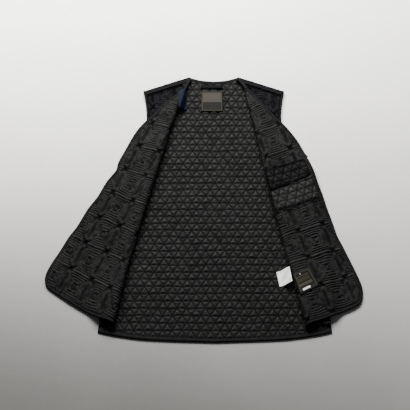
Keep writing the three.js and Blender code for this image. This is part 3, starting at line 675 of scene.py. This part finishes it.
def make_shoulder(name, side, shell):
    """The back turned over the shoulder as far as the shoulder seam."""
    start, run, out, length = shoulder_line()
    steps = np.linspace(2.5, length - 2.5, 60)
    points, cloth = [], []
    for w, z in SHOULDER_SECTION:
        wave = (0.45 * lumps(steps, 0 * steps + w, 9, 101) + 0.3 * lumps(steps + w, 0 * steps, 5, 102)) \
            * smoothstep(z, 5, 8)
        v = start + np.outer(steps, run) - np.outer(np.full(len(steps), w), out)
        points.append(np.column_stack([side * v[:, 0], v[:, 1], z + wave]))
        cloth.append(np.column_stack([steps, np.full(len(steps), w)]))
    return swept(f"shoulder_turn_{name}", points, cloth, shell, [], "shell")


def make_neck_turn(name, material):
    """The band of the V neck, from the corner of the neck over the end of the shoulder."""
    line = curve(NECK_TURN[name], LINE_STEP)
    rise = np.linspace(*NECK_TURN_HIGH[name], len(line))

    def lay(place, h):
        return np.column_stack([place, rise + h])
    return bind(f"neck_turn_{name}", line, EDGE + 2.5, 4.2, lay, [], 261, material, swell=0.6)


def sheet_over(corners, foot, thick, steps=24):
    """A thin sheet over a four-cornered place. foot gives the place of each point of its underside."""
    a, b, c, d = (np.array(corner, float) for corner in corners)
    share = np.linspace(0, 1, steps + 1)
    u, v = (grid.reshape(-1, 1) for grid in np.meshgrid(share, share))
    place = (a * (1 - u) + b * u) * (1 - v) + (d * (1 - u) + c * u) * v
    row = steps + 1
    faces = np.array([(j * row + i, j * row + i + 1, (j + 1) * row + i + 1, (j + 1) * row + i)
                      for j in range(steps) for i in range(steps)])
    cloth = np.hstack([u * np.hypot(*(b - a)), v * np.hypot(*(d - a))])
    points, all_faces, _ = closed_slab(foot(place, thick), foot(place, 0), faces)
    return points, all_faces, np.tile(cloth, (2, 1))


def rectangle(x, y, width, height):
    w, h = width / 2, height / 2
    return [(x - w, y + h), (x + w, y + h), (x + w, y - h), (x - w, y - h)]


def on_back(place, up):
    """Cloth that lies on the back's lining, which it follows a little."""
    x, y = place.T
    soft = 0.25 * lumps(x, y, 16, 111)
    return np.column_stack([place, BACK_TOP + 0.5 + up + soft])


def over_roll(fold, run):
    def foot(place, up):
        p, d = fold.measure(place)
        top = LOWER_SHELL + 2 * fold.roll * fold.size(p) + FRONT_TOP + 0.8
        low = BACK_TOP + 0.6
        wave = 0.4 * lumps(place[:, 0], place[:, 1], 18, 112)
        return np.column_stack([place, low + (top - low) * smoothstep(d, -run, -2) + up + wave])
    return foot


def on_front(fold):
    def foot(place, up):
        wave = 0.3 * lumps(place[:, 0], place[:, 1], 15, 113)
        return fold.lay(fold.turned(place), FRONT_TOP + 0.9 + up + wave)
    return foot


def make_pocket(name, fold, edge, ends, material, nodes, seed, under):
    """A quilted patch on the lining of a front, between two lines across it."""
    inner = fold.spread + POCKET["side"]
    outer = moved(edge, -EDGE - 3)
    outer = outer[outer[:, 1] > 30]
    lines = []
    for key, into in zip(ends, (SEAM_GAP, -SEAM_GAP)):
        q = np.linspace(inner, 230, 120)
        p = POCKET[key] + into + POCKET_LEAN[key] * q
        reach = np.interp(p, *outer[np.argsort(outer[:, 0])].T)
        keep = q < reach
        lines.append(np.column_stack([p, q])[keep])
    outline = np.vstack([lines[0], lines[1][::-1]])
    pattern = POCKET_TRIANGLE
    low, high = fold.closed(outline).min(0), fold.closed(outline).max(0)
    flat, faces = triangle_mesh(pattern, (low - 30, high + 30), 8)
    sheet, faces, far = trimmed(fold.opened(flat), faces, outline)
    cloth = fold.closed(sheet)
    relief = triangle_relief(*cloth.T, pattern) * smoothstep(far, 0.5, 5)
    wave = 0.9 * (1 + lumps(*sheet.T, 34, seed)) * smoothstep(far, 2, 16)
    roll = (2.6 if ends[0] == "facing" else 1.8) * np.exp(-(((far - 3.2) / 1.8) ** 2))
    from_foot = POCKET[ends[1]] + POCKET_LEAN[ends[1]] * sheet[:, 1] - sheet[:, 0]
    stands = 0.1 + 0.9 * smoothstep(from_foot, 0, 16 if ends[1] == "foot" else 10)
    base = FRONT_TOP + 0.2 - 1.3 * (1 - stands)
    thick = POCKET["thick"] * smoothstep(far, -1, 2) + 0.2
    top = base + 0.3 + (thick - 0.3 + POCKET["puff"] * relief + wave + roll) * stands
    points, all_faces, _ = closed_slab(fold.lay(sheet, top), fold.lay(sheet, base), faces)
    puff = np.tile(np.clip(relief, 0, 1), 2)
    slot = "shell" if ends[0] == "facing" else "lining"
    patch = add_piece(name, points, all_faces, np.tile(cloth, (2, 1)), [material], nodes, slot, puff=puff)
    cut_sheet(outline)


# Shader maths: a Signal is one output of a node, and Python's operators on it add Math nodes

def math_node(operation, swapped=False):
    def made(signal, *others):
        inputs = [*others, signal] if swapped else [signal, *others]
        return signal.maker.node("ShaderNodeMath", {"operation": operation}, inputs)
    return made


class Signal:
    def __init__(self, maker, socket):
        self.maker, self.socket = maker, socket

    __add__ = __radd__ = math_node("ADD")
    __mul__ = __rmul__ = math_node("MULTIPLY")
    __sub__, __rsub__ = math_node("SUBTRACT"), math_node("SUBTRACT", swapped=True)
    __truediv__ = math_node("DIVIDE")
    __lt__, __gt__ = math_node("LESS_THAN"), math_node("GREATER_THAN")
    part, size = math_node("FRACT"), math_node("ABSOLUTE")
    wave, least = math_node("SINE"), math_node("MINIMUM")

    def between(self, low, high):
        """0 below low, 1 above high, and smooth between them."""
        settings = {"interpolation_type": "SMOOTHSTEP"}
        ends = {"Value": self, "From Min": low, "From Max": high}
        return self.maker.node("ShaderNodeMapRange", settings, ends)


class Finish:
    """A material of one Principled shader, and the nodes that feed it."""

    def __init__(self, name, **constants):
        self.material = bpy.data.materials.new(name)
        self.material.use_nodes = True
        self.tree = self.material.node_tree
        self.shader = self.tree.nodes["Principled BSDF"]
        for socket, value in constants.items():
            self.shader.inputs[socket.replace("_", " ")].default_value = value

    def node(self, kind, settings=None, inputs=None, output=0):
        made = self.tree.nodes.new(kind)
        for key, value in (settings or {}).items():
            setattr(made, key, value)
        pairs = inputs.items() if isinstance(inputs, dict) else enumerate(inputs or [])
        for key, value in pairs:
            if isinstance(value, Signal):
                self.tree.links.new(value.socket, made.inputs[key])
            else:
                made.inputs[key].default_value = value
        return Signal(self, made.outputs[output])

    def mix(self, factor, low, high):
        """Between two colours."""
        return self.node("ShaderNodeMix", {"data_type": "RGBA"}, {0: factor, 6: low, 7: high}, 2)

    def noise(self, place, scale, detail=2.0, rough=0.5):
        return self.node("ShaderNodeTexNoise", None,
                         {"Vector": place, "Scale": scale, "Detail": detail, "Roughness": rough})

    def cloth(self):
        """The place on the flat cloth, as its vector and its two numbers in millimetres."""
        place = self.node("ShaderNodeUVMap", {"uv_map": "cloth"})
        u, v = (self.node("ShaderNodeSeparateXYZ", None, [place], k) for k in (0, 1))
        return place, u * 1000, v * 1000

    def puff(self):
        return self.node("ShaderNodeAttribute", {"attribute_name": "puff"}, None, "Fac")

    def end(self, height, colour, roughness=None, *, strength, distance):
        sizes = {"Strength": strength, "Distance": distance, "Height": height}
        bump = self.node("ShaderNodeBump", None, sizes)
        self.tree.links.new(bump.socket, self.shader.inputs["Normal"])
        self.tree.links.new(colour.socket, self.shader.inputs["Base Color"])
        if roughness is not None:
            self.tree.links.new(roughness.socket, self.shader.inputs["Roughness"])
        return self.material


def grey(level, blue=0.0):
    return (level, level, level * (1 + blue), 1)


def weave(u, v, pitch):
    """Plain weave: threads over and under each other every pitch millimetres."""
    across, along = (u * (math.tau / 2 / pitch)).wave(), (v * (math.tau / 2 / pitch)).wave()
    return across * along * 0.5 + 0.5


def stitches(off, along, length=3.2):
    """1 on the threads of a line of stitching, from how far off it and how far along a place is."""
    thread = 1 - off.between(0.25, 0.45)
    return thread * ((along / length).part() - 0.5).size().between(0.12, 0.2)


def triangle_lines(u, v, pattern):
    """How far each of the three stitching lines is, and how far along it a place is."""
    row = pattern["side"] * math.sqrt(3) / 2
    u, v = u - pattern["x"], v - pattern["y"]
    found = []
    for angle in (0, 60, 120):
        c, s = math.cos(math.radians(angle)), math.sin(math.radians(angle))
        across = (v * c - u * s) / row
        off = (0.5 - ((across + 100).part() - 0.5).size()) * row
        found.append((off, u * c + v * s + 1000))
    return found


def nest_lines(u, v, nest):
    """How far the nearest ring of stitching is, and how far along it a place is."""
    across, along = nest["across"], nest["along"]
    x = (((u - nest["x"]) / across + 100).part() - 0.5) * across
    y = (((v - nest["y"]) / along + 100).part() - 0.5) * along
    from_side, from_end = (across / 2 - x.size()) * (along / across), along / 2 - y.size()
    ring = (from_side.least(from_end) - RIDGE) / PITCH + 10
    off = (0.5 - (ring.part() - 0.5).size()) * PITCH
    ends = from_end < from_side
    return [(off, ends * x + (1 - ends) * y + 500)]


def quilted_nylon(name, lines, pattern, level, roughness, gloss, blue=0.0):
    """Thin black nylon over wadding, with shade painted into its stitching channels where the padding is
    low, a soft sheen and fine puckers.
    """
    made = Finish(name, Specular_IOR_Level=gloss)
    place, u, v = made.cloth()
    patches, fine, puckers = (made.noise(place, scale, 3) for scale in (14, 160, 420))
    puff = made.puff()
    thread, ripple = 0, 0
    for off, along in lines(u, v, pattern):
        thread = stitches(off, along) + thread
        near = 1 - off.between(0.3, 3.2)
        ripple = (along * (math.tau / 4.3) + fine * 9).wave() * near + ripple
    wear = (patches * 0.5 + fine * 0.5).between(0.42, 0.66)
    # Painted shade: where the padding (puff) sinks into the stitching channels, the colour falls to 0.06 of
    # level.
    shade = made.mix(puff.between(0.05, 0.8), grey(level * 0.06, blue), grey(level, blue))
    shade = made.mix(wear * 0.3, shade, grey(level * 1.6, blue))
    shade = made.mix(thread.least(1) * 0.6, shade, grey(level * 1.3, blue))
    height = weave(u, v, 0.32) * 0.10 + thread * 0.5 + ripple * 0.35 + puckers * 0.5 + fine * 0.6
    rough = roughness + (fine - 0.5) * 0.25 + (1 - puff) * 0.4
    return made.end(height, shade, rough, strength=0.9, distance=0.0005)


def binding_cloth(name, level):
    """Folded tape: a fine diagonal rib, with a line of stitching close to its inner edge."""
    made = Finish(name, Specular_IOR_Level=0.018)
    place, run, across = made.cloth()
    rib = ((run + across) * (math.tau / 0.7)).wave()
    near, far = ((across - (width - 1.5)).size() for width in (EDGE, BACK_EDGE))
    thread = stitches(near, run, 2.8) + stitches(far, run, 2.8)
    patches = made.noise(place, 60, 3)
    pull = (run * (math.tau / 5.6) + patches * 6).wave() * across.between(1.0, 5.5)
    shade = made.mix(patches.between(0.35, 0.7), grey(level * 0.75, 0.12), grey(level * 1.35, 0.12))
    shade = made.mix(thread.least(1) * 0.5, shade, grey(level * 2.2, 0.1))
    height = rib * 0.12 + thread * 0.6 + pull * 0.35 + patches * 0.4
    return made.end(height, shade, 0.52 + (patches - 0.5) * 0.3, strength=0.9, distance=0.0005)


def woven_label(name, ground, frame_colour, size, blocks):
    """A bare woven label: a framed ground, with plain blocks given by their sides in millimetres."""
    made = Finish(name, Specular_IOR_Level=0.025, Roughness=0.53)
    place, u, v = made.cloth()
    shade = made.mix(made.noise(place, 300, 2), grey(ground * 0.8), grey(ground * 1.2))
    raised = 0
    framed = [(frame_colour, side) for side in frame_sides(*size)]
    for colour, (left, top, right, bottom) in framed + blocks:
        mask = (u > left) * (u < right) * (v > top) * (v < bottom)
        tint = made.noise(place, 260, 3)
        shade = made.mix(mask * (0.75 + tint * 0.4).least(1), shade, (*colour, 1))
        raised = mask + raised
    ribs = (v * (math.tau / 0.5)).wave() * 0.5 + (u * (math.tau / 0.8)).wave() * 0.3
    return made.end(ribs * 0.3 + raised, shade, strength=0.8, distance=0.0002)


def frame_sides(width, height, inset=3.0, line=0.9):
    right, bottom = width - inset, height - inset
    return [(inset, inset, right, inset + line), (inset, bottom - line, right, bottom),
            (inset, inset, inset + line, bottom), (right - line, inset, right, bottom)]


def satin(name, colour, roughness):
    """Smooth ribbon or tape: long floats of thread across it, a bright soft gloss, and a painted sheen on
    the crests of its folds.
    """
    made = Finish(name, Specular_IOR_Level=0.02)
    place, _, v = made.cloth()
    floats = (v * (math.tau / 0.35)).wave() * 0.2
    folds = made.noise(place, 70, 2)
    # Painted sheen and shade: the colour is lighter where the folds rise and darker in their hollows.
    dark, light = ((*(c * level for c in colour), 1) for level in (0.75, 1.2))
    shade = made.mix(folds.between(0.3, 0.7), dark, light)
    rough = roughness + (folds - 0.5) * 0.2
    return made.end(floats + folds * 1.2, shade, rough, strength=0.7, distance=0.0004)


# Floor, light and camera

def make_floor():
    bpy.ops.mesh.primitive_plane_add(size=12, location=(0, 0, -0.0004))
    floor = bpy.context.object
    floor.name = "floor"
    made = Finish("pale_floor", Specular_IOR_Level=0.3)
    place = made.node("ShaderNodeTexCoord", None, None, "Object")
    cloud = made.noise(place, 2.2, 5, 0.55)
    grain = made.noise(place, 60, 4, 0.6)
    right, up = (made.node("ShaderNodeSeparateXYZ", None, [place], k) for k in (0, 1))
    # Painted light: the floor's colour runs from dark at the bottom to pale at the top, tilted from left to
    # right, standing in for the window's light falling off across it. The cloudy mottling is the floor's
    # own.
    near = made.mix(cloud.between(0.3, 0.7), (0.066, 0.064, 0.061, 1), (0.080, 0.078, 0.074, 1))
    far = made.mix(cloud.between(0.3, 0.7), (0.84, 0.83, 0.815, 1), (0.90, 0.89, 0.875, 1))
    shade = made.mix((up - up * right * 0.40 + right * 0.05).between(-0.75, 1.02), near, far)
    rough = 0.62 + (grain - 0.5) * 0.2
    floor.data.materials.append(made.end(grain, shade, rough, strength=0.15, distance=0.0006))


def make_window(place, aim, energy, size, colour):
    data = bpy.data.lights.new("window", "AREA")
    data.energy, data.color = energy, colour
    data.shape, data.size, data.size_y = "RECTANGLE", *size
    lamp = bpy.data.objects.new("window", data)
    lamp.location = place
    lamp.rotation_euler = (Vector(aim) - Vector(place)).to_track_quat("-Z", "Y").to_euler()
    bpy.context.scene.collection.objects.link(lamp)


def make_studio():
    make_window(place=(-0.35, 2.0, 1.5), aim=(0, 0.1, 0), energy=400, size=(2.2, 1.0),
                colour=(1.0, 0.985, 0.96))
    world = bpy.data.worlds.new("studio")
    world.use_nodes = True
    world.node_tree.nodes["Background"].inputs["Color"].default_value = (0.9, 0.95, 1, 1)
    world.node_tree.nodes["Background"].inputs["Strength"].default_value = 0.2
    bpy.context.scene.world = world


def make_camera():
    """As in the photo, looking down at 58.5 degrees."""
    tilt, distance = math.radians(31.5), 3.235
    aim = Vector((0.0037, -0.0075, 0))
    picture_width, sensor = 410, 36
    focal_pixels = 1247
    data = bpy.data.cameras.new("camera")
    data.lens, data.sensor_width = sensor * focal_pixels / picture_width, sensor
    camera = bpy.data.objects.new("camera", data)
    camera.location = aim + distance * Vector((0, -math.sin(tilt), math.cos(tilt)))
    camera.rotation_euler = (tilt, 0, 0)
    bpy.context.scene.collection.objects.link(camera)
    bpy.context.scene.camera = camera


# The vest

make_camera()

back_lining = quilted_nylon("back_lining", triangle_lines, TRIANGLE,
                            level=0.0066, roughness=0.45, gloss=0.027)
patch_lining = quilted_nylon("patch_lining", triangle_lines, POCKET_TRIANGLE,
                             level=0.0090, roughness=0.5, gloss=0.03)
facing_shell = quilted_nylon("facing_shell", triangle_lines, POCKET_TRIANGLE,
                             level=0.0046, roughness=0.55, gloss=0.018, blue=0.1)
binding = binding_cloth("binding", 0.0042)
loop_cloth = binding_cloth("loop_cloth", 0.0015)
olive, beige, cream = (0.048, 0.044, 0.027), (0.026, 0.0225, 0.0185), (0.50, 0.49, 0.46)
neck_label_cloth = woven_label("neck_label_cloth", 0.0040, olive, (60, 68), [(beige, (5.5, 5.5, 54.5, 37))])
inner_label_cloth = woven_label("inner_label_cloth", 0.005, olive, (45.7, 55.0),
                                [(olive, (3, 13, 37, 14.5)), ((0.016, 0.015, 0.010), (3, 18, 35, 30)),
                                 ((0.030, 0.029, 0.020), (3, 33, 37, 41)),
                                 (cream, (9, 47.5, 27, 53.5)), ((0.30, 0.20, 0.20), (15, 6, 18.5, 9))])
white_tape = satin("white_tape", colour=(0.66, 0.66, 0.645), roughness=0.6)
navy_satin = satin("navy_satin", colour=(0.0020, 0.0030, 0.0100), roughness=0.5)

quilted_back = make_back(back_lining)
folds, edges, fronts = {}, {}, {}
on_quilted_back = []
for side_name, spec in FRONTS.items():
    nest = spec["nest"]
    lining = quilted_nylon(f"front_lining_{side_name}", nest_lines, nest,
                           level=spec["level"], roughness=0.5, gloss=0.021)
    shell = quilted_nylon(f"front_shell_{side_name}", nest_lines, nest,
                          level=0.0042, roughness=0.6, gloss=0.018, blue=0.22)
    folds[side_name] = fold = Fold(**spec)
    edges[side_name] = edge = front_edge(spec, fold)
    fronts[side_name] = front = make_front(side_name, spec, fold, edge, lining, shell)
    edge_tape = bind(f"front_edge_{side_name}", edge, EDGE, STITCHED, fold.lay,
                     [f"front_binding_{side_name}"], 201, binding)
    armhole = curve(ARMHOLE, LINE_STEP)
    flip = (spec["side"], 1, 1)
    armhole_tapes = []
    for layer, base, wall in (("front", BACK_TOP + SEAM_GAP + TAPE, 2.2), ("back", TAPE, 3.4)):
        def lay(line, h):
            return lie_flat(line, h) * flip
        armhole_tapes.append(bind(f"armhole_edge_{side_name}_{layer}", armhole, EDGE, wall, lay,
                                  [f"armhole_binding_{side_name}_{layer}"], 231, binding,
                                  swell=0.4, base=base))
    shoulder = make_shoulder(side_name, spec["side"], shell)
    neck_turn = make_neck_turn(side_name, binding)
    cut_sheet(front_outline(spec, fold, edge))
    on_quilted_back += [armhole_tapes[1], shoulder]

neck, hem = curve(NECK, LINE_STEP), curve(HEM, LINE_STEP)
for name, line, node, seed in (
        ("neck_edge", np.vstack([mirrored(neck), neck[1:]]), "neck_binding", 241),
        ("hem_edge", np.vstack([hem, mirrored(hem)[1:]]), "hem_binding", 251)):
    on_quilted_back.append(bind(name, line, BACK_EDGE, STITCHED, lie_flat, [node], seed, binding,
                                swell=0.9, base=TAPE))

right_front = fronts["right"]
for name, ends, material, node, seed in (
        ("pocket_top", ("facing", "top"), facing_shell, "pocket_facing", 121),
        ("pocket_bag", ("top", "foot"), patch_lining, "pocket_patch", 122)):
    make_pocket(name, folds["right"], edges["right"], ends, material, [node], seed, right_front)

# Small flat pieces
points, faces, cloth = sheet_over(rectangle(**HANGER_LOOP), on_back, 1.4, steps=16)
hanger_loop = add_piece("loop_hanger", points, faces, cloth, [loop_cloth], ["hanger_loop"], "binding")
cut_sheet(back_outline())
on_inner = on_front(folds["right"])
over_left, over_right = over_roll(folds["left"], 16), over_roll(folds["right"], 30)
for name, corners, foot, thick, material, node, slot, under in (
        ("label_neck", rectangle(**NECK_LABEL), on_back, 0.7, neck_label_cloth, "neck_label", "label",
         quilted_back),
        ("label_inner", INNER_LABEL, on_inner, 0.7, inner_label_cloth, "inner_label", "label", right_front),
        ("tape_care", CARE_LABEL, over_right, 0.4, white_tape, "care_label", "care_tape", right_front),
        ("tape_navy", RIBBON, over_left, 0.5, navy_satin, "ribbon", "satin", fronts["left"])):
    points, faces, cloth = sheet_over(corners, foot, thick)
    small = add_piece(name, points, faces, cloth, [material], [node], slot)
    cut_sheet(corners)

make_floor()
make_studio()
